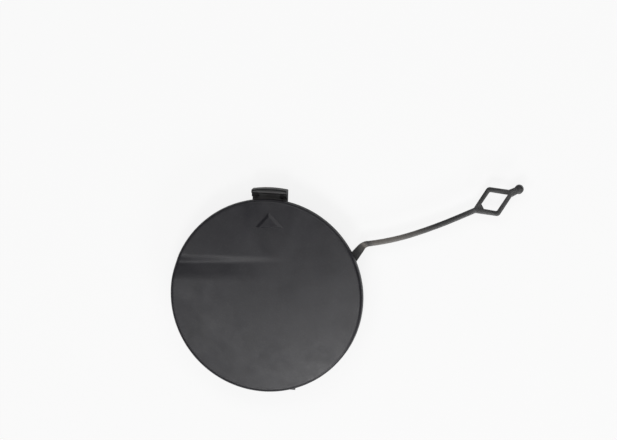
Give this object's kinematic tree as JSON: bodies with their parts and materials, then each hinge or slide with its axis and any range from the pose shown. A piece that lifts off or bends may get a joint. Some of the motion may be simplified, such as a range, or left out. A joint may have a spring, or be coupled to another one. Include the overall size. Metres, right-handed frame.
{
  "type": "bumper tow hook cover",
  "caption": "Round snap-in cover for a bumper tow hook opening: stepped face with raised arrow, hooked top tab, lower snap clip, hollow ribbed back and a strap tether with an eyelet",
  "frame": {"origin": "centre of the flat ring behind the rim of the face, which seats on the bumper skin", "axes": "+Z out of the sculpted face, +Y to the hooked tab that the arrow points to, +X to the side of the tether"},
  "size_m": [0.1292, 0.0819, 0.0141],
  "materials": {
    "black_plastic": "satin black moulded plastic with a fine grain"
  },
  "bodies": {
    "root": {"tow_hook_cover": "black_plastic"}
  },
  "joints": []
}
